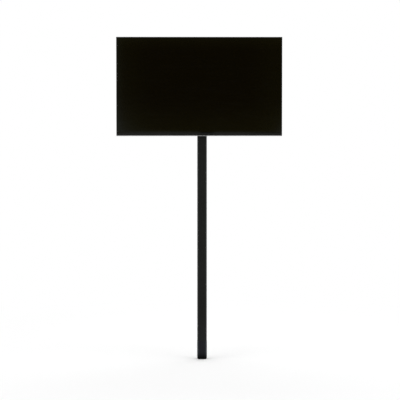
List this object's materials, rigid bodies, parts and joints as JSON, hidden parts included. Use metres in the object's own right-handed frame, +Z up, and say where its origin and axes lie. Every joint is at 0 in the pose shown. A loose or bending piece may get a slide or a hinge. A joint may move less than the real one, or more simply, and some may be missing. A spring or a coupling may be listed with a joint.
{
  "type": "sign stand",
  "caption": "Blank landscape sign board on a tilting head, carried by a slim square post whose lower end plugs into a floor socket.",
  "frame": {"origin": "centre of the foot spigot's flat underside, on the axis of the post", "axes": "+Z up along the post, -Y towards the reader, out of the face of the board, +X to the reader's right"},
  "size_m": [0.55, 0.0557, 1.077],
  "materials": {
    "board_core": "matte",
    "face": "satin",
    "back": "matte",
    "edge": "satin",
    "nosing": "satin",
    "insert_brass": "satin",
    "bracket_paint": "satin",
    "black_screws": "satin",
    "zinc_steel": "satin",
    "powder_coat": "satin",
    "spigot_plastic": "satin",
    "head_paint": "satin",
    "washer_plastic": "satin",
    "knob_plastic": "satin"
  },
  "bodies": {
    "post": {"post_tube": "powder_coat", "foot_spigot": "spigot_plastic", "foot_screw": "black_screws", "post_head": "head_paint", "head_screws": "black_screws", "stop_pin": "zinc_steel", "friction_washer_inner": "washer_plastic", "friction_washer_outer": "washer_plastic"},
    "board": {"core_board": "board_core", "face_laminate": "face", "back_laminate": "back", "edge_band_left": "edge", "edge_band_right": "edge", "edge_band_top": "edge", "bottom_nosing": "nosing", "threaded_inserts": "insert_brass", "hinge_bracket": "bracket_paint", "bracket_screws": "black_screws", "pivot_bolt": "zinc_steel"},
    "knob": {"clamp_knob": "knob_plastic", "knob_bush": "insert_brass"}
  },
  "joints": [
    {"name": "board_tilt", "type": "hinge", "parent": "post", "child": "board", "pos_m": [0, 0, 0.913], "axis": [-1, 0, 0], "range_deg": [0, 90]},
    {"name": "knob_turn", "type": "hinge", "parent": "board", "child": "knob", "pos_m": [0.014, 0, 0.913], "axis": [-1, 0, 0], "range_deg": [0, 180]}
  ]
}
